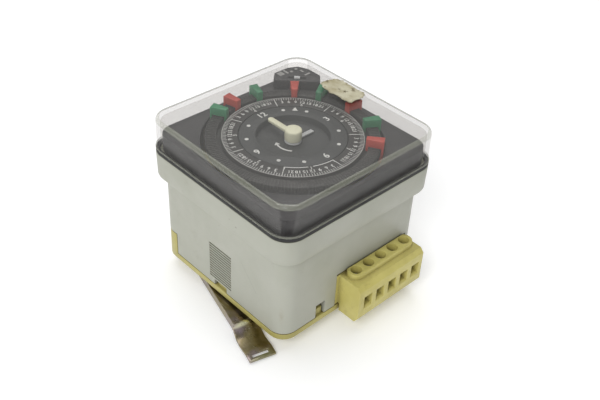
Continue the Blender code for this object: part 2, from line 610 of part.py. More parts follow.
def make_switch():
    """Trip lever beside the disc's edge, and the small switch that it presses."""
    turn = math.radians(45)
    pivot_out, pivot_along = 33.9 * MM, 8.0 * MM
    pivot = diagonal(pivot_out, pivot_along)
    body = place("switch_body", block("switch_body", (36.0 * MM, -4.3 * MM, 6.0 * MM),
                                      (39.8 * MM, 4.3 * MM, 15.2 * MM)), "gasket_black", turn=turn)
    combine(body, "DIFFERENCE", block("plunger_hole", (35.0 * MM, -1.1 * MM, 12.8 * MM),
                                      (37.8 * MM, 1.1 * MM, 14.9 * MM)))
    place("switch_plunger", block("switch_plunger", (35.1 * MM, -0.7 * MM, 13.2 * MM),
                                  (36.9 * MM, 0.7 * MM, 14.6 * MM)), "red", turn=turn)
    lever = [(33.1, 9.4), (34.7, 9.4), (34.7, -3.0), (33.6, -3.0), (31.95, -1.6), (31.95, 0.2), (33.1, 1.6)]
    outline = [(out * MM - pivot_out, along * MM - pivot_along) for out, along in lever]
    place("trip_lever", slab("trip_lever", [outline, circle(0.65 * MM, 12)], 13.2 * MM, 14.6 * MM),
          "ivory", at=(*pivot, 0), turn=turn)
    place("trip_pin", rod("trip_pin", 0.5 * MM, 11.0 * MM, 15.2 * MM, 12), "steel", at=(*pivot, 0))


def make_wires():
    """Insulated leads from the contact bars to the motor and to the switch."""
    poles = [x / MM for x in pole_positions()]
    to_motor = [
        [(-10.0, -19.0, -19.6), (-13.0, -8.0, -19.2), (-14.0, -3.0, -18.6), (-14.0, -2.6, -17.2)],
        [(-4.0, -14.0, -20.2), (-8.0, -4.0, -20.0), (-11.0, 2.0, -19.0), (-11.5, 3.0, -17.2)],
    ]
    to_switch = []
    for lane in range(3):
        across = 26.6 + 1.45 * lane
        end = (25.6 + 1.7 * lane, 28.6 - 1.7 * lane)
        to_switch.append([(across - 2.0, -20.0 - 1.8 * lane, -18.6), (across, -15.0, -16.0),
                          (across + 0.2, -4.0, -11.0), (across + 0.2, 10.0, -4.5),
                          (across, 18.0, 0.0), (*end, 3.0), (*end, 5.6)])
    ends = [[(x, -28.0, -22.7), (x, -27.6, -21.6), (x, -26.0, -20.8), *path]
            for x, path in zip(poles, to_motor + to_switch)]
    for number, path in enumerate(ends, start=1):
        curve = bpy.data.curves.new(f"lead_wire_{number}", "CURVE")
        curve.dimensions = "3D"
        curve.bevel_depth = 0.55 * MM
        curve.bevel_resolution = 2
        curve.use_fill_caps = True
        spline = curve.splines.new("POLY")
        spline.points.add(len(path) - 1)
        for point, (x, y, z) in zip(spline.points, path):
            point.co = (x * MM, y * MM, z * MM, 1)
        curve.materials.append(material("copper_wire"))
        PARTS.objects.link(bpy.data.objects.new(f"lead_wire_{number}", curve))


# ---------------------------------------------------------------- strap

def make_strap():
    """Pressed clamping strap; it runs along its own -Y from the rivet."""
    top, thick = STRAP_TOP, STRAP_THICK
    arm_half, end_half = 3.8 * MM, 5.0 * MM
    middle = [(5.5, 0.0), (-36.4, 0.0), (-38.2, 0.5), (-39.6, 0.1), (-40.8, -1.2), (-42.4, -2.3),
              (-44.8, -2.8), (-47.2, -2.6), (-49.6, -2.2), (-53.4, -2.6)]
    upper = [(y * MM, top + z * MM) for y, z in middle]
    lower = [(y, z - thick) for y, z in reversed(upper)]
    split = -38.8 * MM
    strap = place("mounting_strap", slab("mounting_strap", [upper + lower], -end_half, end_half, plane="YZ"),
                  "zinc_yellow", at=(*STRAP_PIVOT, 0), turn=STRAP_ANGLE)
    low, high = top - 6 * MM, top + 2 * MM
    beyond = end_half + 1 * MM
    trims = [block("trim", (min(side * arm_half, side * beyond), split, low),
                   (max(side * arm_half, side * beyond), 10 * MM, high)) for side in (-1, 1)]
    combine(strap, "DIFFERENCE", merged("trims", trims))
    flange_inner = arm_half - thick
    flanges = [block("flange_strip", (min(side * arm_half, side * flange_inner), -37.4 * MM, top - 3.4 * MM),
                     (max(side * arm_half, side * flange_inner), 1.0 * MM, top - 0.4 * MM))
               for side in (-1, 1)]
    combine(strap, "UNION", *flanges)
    slot = block("hook_slot", (-3.3 * MM, -52.1 * MM, low), (2.9 * MM, -50.7 * MM, high))
    combine(strap, "DIFFERENCE", rod("rivet_bore", 1.7 * MM, low, high, 16), slot)

    head_low = BASE_BOTTOM + BASE_FLOOR + GAP
    head_high = head_low + 0.8 * MM
    rivet_low = top - thick - GAP
    turned("strap_rivet", [
        (0, head_high), (2.6 * MM, head_high), (2.6 * MM, head_low), (1.4 * MM, head_low),
        (1.4 * MM, rivet_low), (3.0 * MM, rivet_low), (3.0 * MM, rivet_low - 0.8 * MM),
        (0, rivet_low - 0.8 * MM),
    ], "steel", sides=20, closed=False, at=(*STRAP_PIVOT, 0))


make_housing()
make_base()
make_gasket()
make_cover()
make_front_plate()
make_dial_face()
make_program_disc()
make_riders()
make_hands()
make_override()
make_terminal_block()
make_terminals()
make_movement_frame()
make_motor()
make_gear_train()
make_switch()
make_wires()
make_strap()
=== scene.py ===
"""Looks of the panel-mount programmable timer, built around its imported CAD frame.

Everything is in metres in the frame's own axes: +Z out of the dial, +Y to twelve o'clock, +X to three
o'clock, origin on the clock shaft at the underside of the front flange.
"""
import json
import math
import random

import bmesh
import bpy
from mathutils import Matrix, Vector


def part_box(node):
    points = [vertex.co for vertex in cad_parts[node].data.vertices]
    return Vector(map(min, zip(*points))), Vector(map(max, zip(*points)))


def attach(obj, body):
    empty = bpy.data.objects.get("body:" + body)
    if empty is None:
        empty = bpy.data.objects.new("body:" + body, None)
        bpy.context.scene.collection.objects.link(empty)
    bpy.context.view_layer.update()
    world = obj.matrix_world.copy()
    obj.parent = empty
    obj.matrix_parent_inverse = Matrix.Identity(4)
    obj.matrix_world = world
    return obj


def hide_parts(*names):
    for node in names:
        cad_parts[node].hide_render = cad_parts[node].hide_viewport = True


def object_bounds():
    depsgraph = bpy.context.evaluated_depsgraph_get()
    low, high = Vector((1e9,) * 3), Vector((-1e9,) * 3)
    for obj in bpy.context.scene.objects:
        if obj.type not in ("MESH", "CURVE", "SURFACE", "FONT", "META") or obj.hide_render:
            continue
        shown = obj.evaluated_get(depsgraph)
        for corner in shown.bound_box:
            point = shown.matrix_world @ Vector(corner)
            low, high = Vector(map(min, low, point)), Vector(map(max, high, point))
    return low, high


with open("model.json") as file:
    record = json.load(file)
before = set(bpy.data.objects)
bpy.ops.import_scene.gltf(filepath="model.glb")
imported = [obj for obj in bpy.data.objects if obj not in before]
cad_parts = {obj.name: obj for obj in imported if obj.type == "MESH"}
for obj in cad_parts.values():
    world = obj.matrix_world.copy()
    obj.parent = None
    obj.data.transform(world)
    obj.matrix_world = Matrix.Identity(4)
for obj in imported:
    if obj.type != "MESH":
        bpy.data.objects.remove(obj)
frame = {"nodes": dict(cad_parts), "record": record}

CAD_BOX = [list(corner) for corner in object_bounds()]
MM = 0.001
NODES = frame["nodes"]
BODIES = frame["record"]["behaviour"]["bodies"]
BODY_OF = {node: body for body, members in BODIES.items() for node in members}

# Case and cover, as the CAD nodes have them
BODY_HALF = 33.1 * MM
BODY_CORNER = 6.0 * MM
BODY_WALL = 2.0 * MM
FLANGE_CORNER = 7.5 * MM
FLANGE_BORE = (32.0 * MM, 5.0 * MM)     # half width and corner radius of the opening
COVER_WALL = 1.5 * MM
COVER_TOP_HALF = 35.65 * MM


# ---------------------------------------------------------------- camera, light, floor

def add_camera():
    """The photograph's viewpoint: azimuth -45, elevation 38 degrees, slightly rolled."""
    azimuth, elevation, roll = math.radians(-45.107), math.radians(37.599), math.radians(3.176)
    target = Vector((2.284, -2.769, -9.36)) * MM
    distance = 311.75 * MM
    back = Vector((math.sin(azimuth) * math.cos(elevation), -math.cos(azimuth) * math.cos(elevation),
                   math.sin(elevation)))
    right = Vector((math.cos(azimuth), math.sin(azimuth), 0))
    up = back.cross(right)
    side = right * math.cos(roll) + up * math.sin(roll)
    top = up * math.cos(roll) - right * math.sin(roll)
    data = bpy.data.cameras.new("camera")
    data.sensor_width = 36
    data.lens = 51.36
    data.clip_start = 0.01
    camera = bpy.data.objects.new("camera", data)
    rotation = Matrix((side, top, back)).transposed().to_4x4()
    camera.matrix_world = Matrix.Translation(target + back * distance) @ rotation
    bpy.context.scene.collection.objects.link(camera)
    bpy.context.scene.camera = camera


def area_light(name, place, target, size, power, colour=(1, 1, 1)):
    """A rectangular light at a place, aimed at a target."""
    data = bpy.data.lights.new(name, "AREA")
    data.shape = "RECTANGLE"
    data.size, data.size_y = size
    data.energy = power
    data.color = colour
    light = bpy.data.objects.new(name, data)
    light.location = place
    aim = Vector(target) - Vector(place)
    light.rotation_euler = aim.to_track_quat("-Z", "Y").to_euler()
    bpy.context.scene.collection.objects.link(light)


def add_studio():
    """An even pale surround, a key from the left and a broad light overhead."""
    world = bpy.data.worlds.new("studio")
    world.use_nodes = True
    world.node_tree.nodes["Background"].inputs["Color"].default_value = (1, 1, 1, 1)
    world.node_tree.nodes["Background"].inputs["Strength"].default_value = 0.36
    bpy.context.scene.world = world
    bpy.context.scene.view_settings.view_transform = "Standard"
    area_light("key", (-0.75, -0.35, 0.7), (0, 0, 0), (0.5, 0.5), 6.0, (0.98, 0.99, 1.0))
    area_light("overhead", (0.15, 0.25, 0.9), (0, 0, 0), (0.9, 0.9), 5.2)


def add_floor():
    """A pale floor just under the lowest point."""
    lowest = CAD_BOX[0][2]
    clearance = 0.5 * MM
    bm = bmesh.new()
    bmesh.ops.create_grid(bm, x_segments=2, y_segments=2, size=3.0)
    mesh = bpy.data.meshes.new("floor")
    bm.to_mesh(mesh)
    bm.free()
    floor = bpy.data.objects.new("floor", mesh)
    floor.location.z = lowest - clearance
    mesh.materials.append(studio_white())
    bpy.context.scene.collection.objects.link(floor)


# ---------------------------------------------------------------- materials

class Shader:
    """A small builder for node materials that read object coordinates."""

    def __init__(self, name):
        self.material = bpy.data.materials.new(name)
        self.material.use_nodes = True
        self.tree = self.material.node_tree
        self.surface = self.tree.nodes["Principled BSDF"]
        self.coordinates = self.node("ShaderNodeTexCoord").outputs["Object"]

    def node(self, kind, **settings):
        """Add a node with the given settings."""
        made = self.tree.nodes.new(kind)
        for key, value in settings.items():
            setattr(made, key, value)
        return made

    def link(self, source, target):
        """Join an output to an input."""
        self.tree.links.new(source, target)

    def noise(self, scale, detail=3.0, roughness=0.55, stretch=None):
        """Noise with features about 1/scale metres across, stretched along the axes if asked."""
        texture = self.node("ShaderNodeTexNoise")
        texture.inputs["Scale"].default_value = scale
        texture.inputs["Detail"].default_value = detail
        texture.inputs["Roughness"].default_value = roughness
        source = self.coordinates
        if stretch:
            mapping = self.node("ShaderNodeMapping")
            mapping.inputs["Scale"].default_value = stretch
            self.link(source, mapping.inputs["Vector"])
            source = mapping.outputs["Vector"]
        self.link(source, texture.inputs["Vector"])
        return texture.outputs["Fac"]

    def ramp(self, value, low, high, start=0.0, end=1.0):
        """Maps low..high of a value to start..end, clamped."""
        node = self.node("ShaderNodeMapRange")
        for key, number in (("From Min", low), ("From Max", high), ("To Min", start), ("To Max", end)):
            node.inputs[key].default_value = number
        self.link(value, node.inputs["Value"])
        return node.outputs["Result"]

    def maths(self, operation, a, b):
        """Maths on two values, each a number or a socket."""
        node = self.node("ShaderNodeMath", operation=operation)
        for socket, value in zip(node.inputs, (a, b)):
            if isinstance(value, (int, float)):
                socket.default_value = value
            else:
                self.link(value, socket)
        return node.outputs["Value"]

    def mix(self, factor, first, second):
        """Blend two colours, each a tuple or a socket."""
        node = self.node("ShaderNodeMix", data_type="RGBA")
        for socket, value in zip((node.inputs[0], node.inputs[6], node.inputs[7]), (factor, first, second)):
            if isinstance(value, (int, float)):
                socket.default_value = value
            elif isinstance(value, tuple):
                socket.default_value = (*value, 1.0)
            else:
                self.link(value, socket)
        return node.outputs[2]

    def vector(self, operation, a, b):
        """Vector maths on a socket and a second vector or socket."""
        node = self.node("ShaderNodeVectorMath", operation=operation)
        self.link(a, node.inputs[0])
        if isinstance(b, Vector):
            node.inputs[1].default_value = b
        else:
            self.link(b, node.inputs[1])
        return node.outputs["Value" if operation == "DOT_PRODUCT" else "Vector"]

    def scratch(self, start, end, width):
        """1 on the straight line between two points, falling to 0 at the width."""
        start, run = Vector(start), Vector(end) - Vector(start)
        offset = self.vector("SUBTRACT", self.coordinates, start)
        reach = self.ramp(self.vector("DOT_PRODUCT", offset, run.normalized()), 0.0, run.length)
        foot = self.node("ShaderNodeVectorMath", operation="SCALE")
        foot.inputs[0].default_value = run
        self.link(reach, foot.inputs["Scale"])
        gap = self.node("ShaderNodeVectorMath", operation="LENGTH")
        self.link(self.vector("SUBTRACT", offset, foot.outputs["Vector"]), gap.inputs[0])
        return self.ramp(gap.outputs["Value"], 0.3 * width, width, 1.0, 0.0)

    def near(self, centre, radii):
        """1 at a point, falling to 0 at the given distances along the axes."""
        offset = self.node("ShaderNodeVectorMath", operation="SUBTRACT")
        self.link(self.coordinates, offset.inputs[0])
        offset.inputs[1].default_value = centre
        scaled = self.node("ShaderNodeVectorMath", operation="DIVIDE")
        self.link(offset.outputs[0], scaled.inputs[0])
        scaled.inputs[1].default_value = radii
        length = self.node("ShaderNodeVectorMath", operation="LENGTH")
        self.link(scaled.outputs[0], length.inputs[0])
        return self.ramp(length.outputs["Value"], 0.35, 1.0, 1.0, 0.0)

    def both(self, first, second):
        """Where two masks overlap."""
        return self.maths("MULTIPLY", first, second)

    def tinted(self, tint, mask, strength, colour):
        """Lay a colour over a tint, as far as a mask and a strength let it."""
        return self.mix(self.maths("MULTIPLY", mask, strength), tint, colour)

    def edges(self, radius):
        """1 on sharp edges, from the difference between the rounded and the true normal."""
        bevel = self.node("ShaderNodeBevel", samples=4)
        bevel.inputs["Radius"].default_value = radius
        geometry = self.node("ShaderNodeNewGeometry")
        dot = self.node("ShaderNodeVectorMath", operation="DOT_PRODUCT")
        self.link(bevel.outputs["Normal"], dot.inputs[0])
        self.link(geometry.outputs["Normal"], dot.inputs[1])
        return self.ramp(dot.outputs["Value"], 0.97, 0.80)

    def crevices(self, distance):
        """Mask for painted shade, from ambient occlusion: 1 deep in corners and slots, 0 on open faces."""
        hollow = self.node("ShaderNodeAmbientOcclusion", samples=4)
        hollow.inputs["Distance"].default_value = distance
        return self.ramp(hollow.outputs["AO"], 0.25, 0.85, 1.0, 0.0)

    def finish(self, colour, roughness, metallic=0.0, bump=None, bump_strength=0.2, distance=0.05 * MM):
        """Set the Principled shader up and return the material."""
        if isinstance(colour, tuple):
            self.surface.inputs["Base Color"].default_value = (*colour, 1.0)
        else:
            self.link(colour, self.surface.inputs["Base Color"])
        if isinstance(roughness, (int, float)):
            self.surface.inputs["Roughness"].default_value = roughness
        else:
            self.link(roughness, self.surface.inputs["Roughness"])
        self.surface.inputs["Metallic"].default_value = metallic
        if bump is not None:
            node = self.node("ShaderNodeBump")
            node.inputs["Strength"].default_value = bump_strength
            node.inputs["Distance"].default_value = distance
            self.link(bump, node.inputs["Height"])
            self.link(node.outputs["Normal"], self.surface.inputs["Normal"])
        return self.material


def plastic(name, colour, shade, roughness=0.45, mottle=60, grain=2500, bump=0.15, wear=None):
    """Moulded plastic: broad tint changes, fine grain, and optional wear of another colour on edges."""
    shader = Shader(name)
    tint = shader.mix(shader.ramp(shader.noise(mottle), 0.35, 0.65), colour, shade)
    if wear:
        worn = shader.both(shader.edges(0.35 * MM), shader.ramp(shader.noise(700), 0.4, 0.6))
        tint = shader.mix(worn, tint, wear)
    fine = shader.noise(grain, 2.0)
    rough = shader.ramp(shader.noise(mottle * 3), 0.3, 0.7, roughness - 0.07, roughness + 0.07)
    return shader.finish(tint, rough, bump=fine, bump_strength=bump)


def metal(name, colour, shade, roughness=0.3, stretch=(1, 1, 12), bump=0.1):
    """Plated or turned metal: streaked tint and roughness."""
    shader = Shader(name)
    streaks = shader.noise(900, 4.0, stretch=stretch)
    tint = shader.mix(shader.ramp(shader.noise(150), 0.3, 0.7), colour, shade)
    rough = shader.ramp(streaks, 0.3, 0.7, roughness - 0.08, roughness + 0.12)
    return shader.finish(tint, rough, metallic=1.0, bump=streaks, bump_strength=bump)


def studio_white():
    """Pale floor that glows a little, so that it stays near white under the object."""
    shader = Shader("floor_white")
    tint = shader.mix(shader.ramp(shader.noise(4), 0.3, 0.7), (0.92, 0.92, 0.92), (0.94, 0.94, 0.94))
    shader.surface.inputs["Emission Color"].default_value = (1, 1, 1, 1)
    shader.surface.inputs["Emission Strength"].default_value = 0.16
    return shader.finish(tint, 0.9)


# A long scratch on the case's left side: its upper and its lower end
SCRATCH = (Vector((-33.1, -11.6, -13.0)) * MM, Vector((-33.1, -19.6, -22.0)) * MM)
# The brown smudge near the case's front corner: its middle and its reach
SMUDGE = (Vector((-32.2, -31.4, -25.0)) * MM, Vector((1.1, 1.4, 6.0)) * MM)
# The strap's painted highlight along its crest and its green-tinted tip: middles and reaches
STRAP_CREST_HIGHLIGHT = (Vector((-35.1, -15.9, -37.0)) * MM, Vector((6.0, 1.5, 1.2)) * MM)
STRAP_TIP = (Vector((-39.0, -30.1, -40.2)) * MM, Vector((8.0, 3.0, 3.0)) * MM)


def housing_plastic():
    """Aged light grey plastic: patchy grime, specks, a smudge, a scratch, worn edges and painted shade in its
    louvres.
    """
    shader = Shader("housing_grey")
    tint = shader.mix(shader.ramp(shader.noise(45), 0.35, 0.68), (0.408, 0.412, 0.350), (0.368, 0.374, 0.308))
    grime = shader.both(shader.ramp(shader.noise(130, 6.0, 0.7), 0.56, 0.75),
                        shader.ramp(shader.noise(25), 0.45, 0.65))
    tint = shader.tinted(tint, grime, 0.4, (0.27, 0.25, 0.19))
    specks = shader.both(shader.ramp(shader.noise(620, 2.0), 0.72, 0.78),
                         shader.ramp(shader.noise(60), 0.48, 0.6))
    tint = shader.tinted(tint, specks, 0.7, (0.14, 0.12, 0.09))
    smudge = shader.both(shader.near(*SMUDGE), shader.ramp(shader.noise(500, 3.0), 0.35, 0.60))
    tint = shader.tinted(tint, smudge, 0.4, (0.27, 0.21, 0.13))
    # painted shade: dark olive deep in the louvres, windows and corners
    tint = shader.tinted(tint, shader.crevices(1.1 * MM), 0.9, (0.13, 0.125, 0.055))
    tint = shader.tinted(tint, shader.scratch(*SCRATCH, 0.14 * MM), 0.4, (0.20, 0.19, 0.16))
    worn = shader.both(shader.edges(0.4 * MM), shader.ramp(shader.noise(400, 4.0), 0.45, 0.65))
    tint = shader.tinted(tint, worn, 0.35, (0.56, 0.55, 0.47))
    rough = shader.ramp(shader.noise(200), 0.3, 0.7, 0.36, 0.52)
    return shader.finish(tint, rough, bump=shader.noise(3200, 2.0), bump_strength=0.12)


def yellowed_plastic(name, colour, shade):
    """Cream plastic gone yellow, browner in the dirty places, with painted shade in its wells and painted
    highlight on its edges.
    """
    shader = Shader(name)
    tint = shader.mix(shader.ramp(shader.noise(70), 0.35, 0.65), colour, shade)
    grime = shader.ramp(shader.noise(260, 6.0, 0.7), 0.58, 0.8)
    tint = shader.tinted(tint, grime, 0.55, (0.24, 0.18, 0.06))
    # painted shade: dark brown deep in the wells and at the joints
    tint = shader.tinted(tint, shader.crevices(2.6 * MM), 0.95, (0.10, 0.065, 0.015))
    # painted highlight: paler yellow along the edges
    tint = shader.tinted(tint, shader.edges(0.3 * MM), 0.45, (0.68, 0.64, 0.27))
    rough = shader.ramp(shader.noise(300), 0.3, 0.7, 0.34, 0.5)
    return shader.finish(tint, rough, bump=shader.noise(2600, 2.0), bump_strength=0.12)


def chromated_steel():
    """Yellow chromate on pressed spring steel: olive to violet patches, edges lighter from wear and painted
    highlight, a painted highlight on the crest, bare scratches.
    """
    shader = Shader("zinc_yellow")
    patches = shader.noise(170, 4.0)
    tint = shader.mix(shader.ramp(patches, 0.38, 0.62), (0.23, 0.19, 0.095), (0.36, 0.30, 0.19))
    tint = shader.mix(shader.ramp(shader.noise(110, 2.0), 0.52, 0.66), tint, (0.33, 0.27, 0.27))
    tint = shader.tinted(tint, shader.ramp(shader.noise(300, 5.0), 0.56, 0.72), 0.6, (0.20, 0.17, 0.09))
    # lighter edges: partly wear, partly painted highlight
    tint = shader.tinted(tint, shader.edges(0.5 * MM), 0.4, (0.60, 0.56, 0.42))
    # painted highlight: near white along the strap's crest
    tint = shader.mix(shader.near(*STRAP_CREST_HIGHLIGHT), tint, (0.86, 0.84, 0.62))
    tint = shader.tinted(tint, shader.near(*STRAP_TIP), 0.6, (0.22, 0.24, 0.09))
    scratches = shader.ramp(shader.noise(1500, 3.0, stretch=(1, 0.08, 1)), 0.62, 0.7)
    tint = shader.tinted(tint, scratches, 0.5, (0.75, 0.70, 0.58))
    rough = shader.ramp(patches, 0.3, 0.7, 0.22, 0.42)
    return shader.finish(tint, rough, metallic=1.0, bump=shader.noise(1200, 3.0), bump_strength=0.1)


def paper_label():
    """Torn remnant of a blank label: cream, brown at the edges, with dark blotches of old glue."""
    shader = Shader("label_paper")
    tint = shader.mix(shader.ramp(shader.noise(180, 5.0), 0.4, 0.65), (0.52, 0.49, 0.36), (0.36, 0.32, 0.20))
    blots = shader.ramp(shader.noise(330, 5.0, 0.65), 0.57, 0.66)
    tint = shader.tinted(tint, blots, 0.85, (0.13, 0.10, 0.05))
    border = shader.both(shader.edges(1.0 * MM), shader.ramp(shader.noise(420, 4.0), 0.38, 0.52))
    tint = shader.mix(border, tint, (0.08, 0.06, 0.02))
    return shader.finish(tint, 0.8, bump=shader.noise(900, 5.0), bump_strength=0.5, distance=0.15 * MM)


def clear_plastic(name, veil, haze, roughness):
    """Clear wall: mostly see-through, with a Fresnel gloss and a faint scuffed veil."""
    shader = Shader(name)
    output = shader.tree.nodes["Material Output"]
    scuffs = shader.both(shader.ramp(shader.noise(500, 6.0, 0.7), 0.5, 0.8),
                         shader.ramp(shader.noise(60), 0.4, 0.7))
    through = shader.node("ShaderNodeBsdfTransparent")
    through.inputs["Color"].default_value = (0.975, 0.968, 0.962, 1.0)
    shader.finish(veil, roughness)
    fresnel = shader.node("ShaderNodeLayerWeight")
    fresnel.inputs["Blend"].default_value = 0.32
    share = shader.maths("ADD", shader.maths("MULTIPLY", fresnel.outputs["Fresnel"], 0.22), haze)
    share = shader.maths("ADD", share, shader.maths("MULTIPLY", scuffs, 0.025))
    mixed = shader.node("ShaderNodeMixShader")
    shader.link(share, mixed.inputs[0])
    shader.link(through.outputs[0], mixed.inputs[1])
    shader.link(shader.surface.outputs[0], mixed.inputs[2])
    shader.link(mixed.outputs[0], output.inputs["Surface"])
    return shader.material


MATERIALS = {
    "housing_grey": housing_plastic(),
    "yellow_plastic": yellowed_plastic("yellow_plastic", (0.60, 0.535, 0.170), (0.50, 0.440, 0.125)),
    "base_yellow": yellowed_plastic("base_yellow", (0.46, 0.41, 0.135), (0.37, 0.325, 0.095)),
    "clear_plastic": clear_plastic("clear_plastic", (0.34, 0.34, 0.33), 0.006, 0.09),
    # painted highlight: paler, more opaque clear plastic for the cover's rim and foot lip
    "cover_rim_highlight": clear_plastic("cover_rim_highlight", (0.40, 0.41, 0.33), 0.34, 0.14),
    "gasket_black": plastic("gasket_black", (0.012, 0.012, 0.012), (0.02, 0.02, 0.02), 0.6),
    "plate_grey": plastic("plate_grey", (0.044, 0.043, 0.045), (0.034, 0.033, 0.035), 0.5,
                          grain=900, bump=0.02, wear=(0.10, 0.10, 0.09)),
    "face_grey": plastic("face_grey", (0.052, 0.056, 0.056), (0.042, 0.045, 0.045), 0.55),
    "disc_black": plastic("disc_black", (0.036, 0.035, 0.033), (0.030, 0.029, 0.028), 0.45,
                          bump=0.05, wear=(0.09, 0.09, 0.08)),
    "ivory": plastic("ivory", (0.88, 0.88, 0.66), (0.80, 0.80, 0.58), 0.38, grain=1800),
    "hand_white": plastic("hand_white", (0.66, 0.68, 0.68), (0.58, 0.60, 0.60), 0.4),
    "rider_red": plastic("rider_red", (0.56, 0.070, 0.045), (0.46, 0.052, 0.034), 0.4, mottle=160),
    "rider_green": plastic("rider_green", (0.035, 0.26, 0.115), (0.028, 0.20, 0.088), 0.4, mottle=160),
    "black_plastic": plastic("black_plastic", (0.022, 0.022, 0.022), (0.035, 0.035, 0.035), 0.5),
    "print_white": plastic("print_white", (0.78, 0.79, 0.76), (0.62, 0.63, 0.60), 0.6, mottle=220),
    "print_bright": plastic("print_bright", (0.74, 0.75, 0.73), (0.66, 0.67, 0.65), 0.6, mottle=220),
    "print_faint": plastic("print_faint", (0.40, 0.40, 0.39), (0.28, 0.28, 0.27), 0.6, mottle=220),
    "steel": metal("steel", (0.55, 0.55, 0.53), (0.44, 0.44, 0.43), 0.34),
    "brass": metal("brass", (0.72, 0.56, 0.28), (0.60, 0.45, 0.20), 0.32),
    "zinc_yellow": chromated_steel(),
    "wire_red": plastic("wire_red", (0.32, 0.05, 0.04), (0.24, 0.035, 0.03), 0.45, mottle=200),
    "gear_white": plastic("gear_white", (0.74, 0.73, 0.68), (0.66, 0.65, 0.60), 0.42, mottle=120),
    "label_paper": paper_label(),
}


# ---------------------------------------------------------------- mesh helpers

def mesh_from(bm, name, smooth=35):
    """Weld and finish a mesh, smooth but for edges sharper than the given angle."""
    bmesh.ops.remove_doubles(bm, verts=bm.verts, dist=0.0005 * MM)
    bmesh.ops.recalc_face_normals(bm, faces=bm.faces)
    mesh = bpy.data.meshes.new(name)
    bm.to_mesh(mesh)
    bm.free()
    mesh.shade_smooth()
    mesh.set_sharp_from_angle(angle=math.radians(smooth))
    return mesh


def add_piece(name, mesh, body, materials, replaces=()):
    """Link a finished mesh with its materials, ride it on its body and hide the CAD nodes it stands for."""
    piece = bpy.data.objects.new(name, mesh)
    bpy.context.scene.collection.objects.link(piece)
    for material in materials:
        mesh.materials.append(MATERIALS[material])
    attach(piece, body)
    if replaces:
        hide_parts(*replaces)
    return piece


def applied(piece):
    """Make the piece's modifiers permanent."""
    graph = bpy.context.evaluated_depsgraph_get()
    graph.update()
    mesh = bpy.data.meshes.new_from_object(piece.evaluated_get(graph))
    piece.modifiers.clear()
    piece.data = mesh
    return piece


def bevelled(piece, width, segments=2, angle=35):
    """Round the piece's sharp edges and shade it smooth."""
    step = piece.modifiers.new("edges", "BEVEL")
    step.width = width
    step.segments = segments
    step.limit_method = "ANGLE"
    step.angle_limit = math.radians(angle)
    step.harden_normals = False
    applied(piece)
    piece.data.shade_smooth()
    piece.data.set_sharp_from_angle(angle=math.radians(45))
    return piece


def refined(node, slot, width, segments=2, material=None):
    """A copy of a CAD node with its edges rounded, which stands for the node."""
    bm = bmesh.new()
    bm.from_mesh(NODES[node].data)
    bmesh.ops.remove_doubles(bm, verts=bm.verts, dist=0.002 * MM)
    bmesh.ops.dissolve_limit(bm, angle_limit=math.radians(1), verts=bm.verts, edges=bm.edges)
    mesh = mesh_from(bm, node + "_shape")
    piece = add_piece(node + "_shape", mesh, BODY_OF[node], [material or slot], (node,))
    return bevelled(piece, width, segments)


def rounded_loop(half, radius, z, steps=12):
    """Points of a square with round corners."""
    points = []
    for corner, (sx, sy) in enumerate(((1, 1), (-1, 1), (-1, -1), (1, -1))):
        for i in range(steps + 1):
            angle = (corner + i / steps) * math.pi / 2
            points.append(Vector((sx * (half - radius) + radius * math.cos(angle),
                                  sy * (half - radius) + radius * math.sin(angle), z)))
    return points


def ring_loft(profile, breaks=(), caps=(), shades=None, steps=12):
    """Sweep a closed section of (half width, corner radius, height) points round a rounded square.

    Bands named in breaks are left open, loops named in caps are filled, and shades gives the
    material of each band that isn't the first."""
    bm = bmesh.new()
    loops = [[bm.verts.new(p) for p in rounded_loop(half, radius, z, steps)] for half, radius, z in profile]
    for number, (first, second) in enumerate(zip(loops, loops[1:] + loops[:1])):
        if number in breaks:
            continue
        for i in range(len(first)):
            j = (i + 1) % len(first)
            face = bm.faces.new((first[i], first[j], second[j], second[i]))
            face.material_index = (shades or {}).get(number, 0)
    for index in caps:
        bm.faces.new(loops[index])
    return bm


def box_into(bm, low, high, turn=None):
    """Add a box between two corners, turned by a matrix if given."""
    size = Vector(high) - Vector(low)
    matrix = Matrix.Translation((Vector(high) + Vector(low)) / 2) @ Matrix.Diagonal((*size, 1))
    if turn:
        matrix = turn @ matrix
    bmesh.ops.create_cube(bm, size=1.0, matrix=matrix)


def cut(piece, bm):
    """Take a mesh away from a piece."""
    tool = bpy.data.objects.new("cutter", mesh_from(bm, "cutter"))
    bpy.context.scene.collection.objects.link(tool)
    step = piece.modifiers.new("cut", "BOOLEAN")
    step.operation = "DIFFERENCE"
    step.solver = "EXACT"
    step.object = tool
    applied(piece)
    bpy.data.objects.remove(tool, do_unlink=True)
    piece.data.shade_smooth()
    piece.data.set_sharp_from_angle(angle=math.radians(35))
    return piece


def clock(degrees, radius, z=0.0):
    """Point at an angle clockwise from twelve o'clock."""
    angle = math.radians(90 - degrees)
    return Vector((radius * math.cos(angle), radius * math.sin(angle), z))


def clock_turn(degrees):
    """Turns something drawn upright at twelve o'clock to that clock angle."""
    return Matrix.Rotation(math.radians(-degrees), 4, "Z")


# ---------------------------------------------------------------- case

